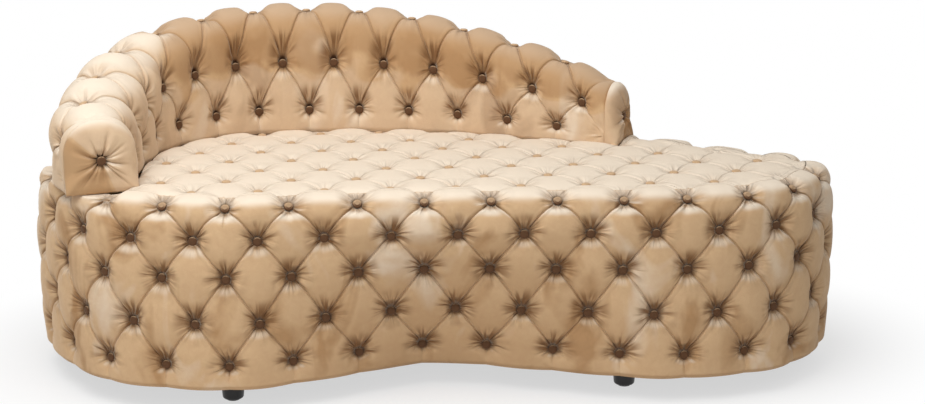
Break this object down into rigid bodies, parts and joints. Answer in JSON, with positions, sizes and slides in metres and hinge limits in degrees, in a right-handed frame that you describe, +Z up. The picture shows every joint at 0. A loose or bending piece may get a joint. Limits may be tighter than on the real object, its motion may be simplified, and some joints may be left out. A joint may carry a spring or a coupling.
{
  "type": "fainting couch",
  "caption": "Bean-shaped daybed with a curved back that runs from an arm along the rear, deep-buttoned in tan velvet all round, on short round black feet.",
  "frame": {"origin": "on the floor under the middle of the couch's bounding box", "axes": "+X along the couch from the arm's end to the open end, +Y from the front to the rear where the back stands, +Z up"},
  "size_m": [1.7886, 0.8949, 0.7579],
  "materials": {
    "velvet": "tan cotton velvet, pile brushed in patches",
    "button_velvet": "buttons covered with the same velvet",
    "black_wood": "satin black lacquer on turned wood",
    "nylon": "moulded nylon",
    "zinc_steel": "bright zinc plate",
    "black_cloth": "black non-woven cloth",
    "plywood": "unfinished birch plywood",
    "softwood": "planed pine",
    "hardboard": "bare hardboard",
    "foam": "firm upholstery foam",
    "twine": "waxed upholstery twine with a plastic toggle"
  },
  "bodies": {
    "root": {"leg_front_left": "black_wood", "leg_front_right": "black_wood", "leg_left": "black_wood", "leg_right": "black_wood", "leg_rear_left": "black_wood", "leg_rear_right": "black_wood", "leg_glides": "nylon", "leg_bolts": "zinc_steel", "leg_tee_nuts": "zinc_steel", "dust_cover": "black_cloth", "base_board": "plywood", "long_web": "plywood", "cross_web_1": "plywood", "cross_web_2": "plywood", "cross_web_3": "plywood", "cross_web_4": "plywood", "cross_web_5": "plywood", "wall_studs": "softwood", "wall_front": "hardboard", "wall_right": "hardboard", "wall_rear": "hardboard", "wall_left": "hardboard", "seat_board": "plywood", "side_pad_front": "velvet", "side_pad_right": "velvet", "side_pad_rear": "velvet", "side_pad_left": "velvet", "side_buttons": "button_velvet", "side_button_ties": "twine", "seat_foam": "foam", "seat_pad": "velvet", "seat_buttons": "button_velvet", "seat_button_ties": "twine", "back_sill": "plywood", "back_ribs": "plywood", "back_inner_wall": "plywood", "back_outer_wall": "plywood", "back_crest_wall": "plywood", "back_inner_pad": "velvet", "back_outer_pad": "velvet", "arm_end_pad": "velvet", "tail_end_pad": "velvet", "back_buttons": "button_velvet", "back_button_ties": "twine", "back_bolts": "zinc_steel", "back_washers": "zinc_steel", "back_nuts": "zinc_steel"}
  },
  "joints": []
}
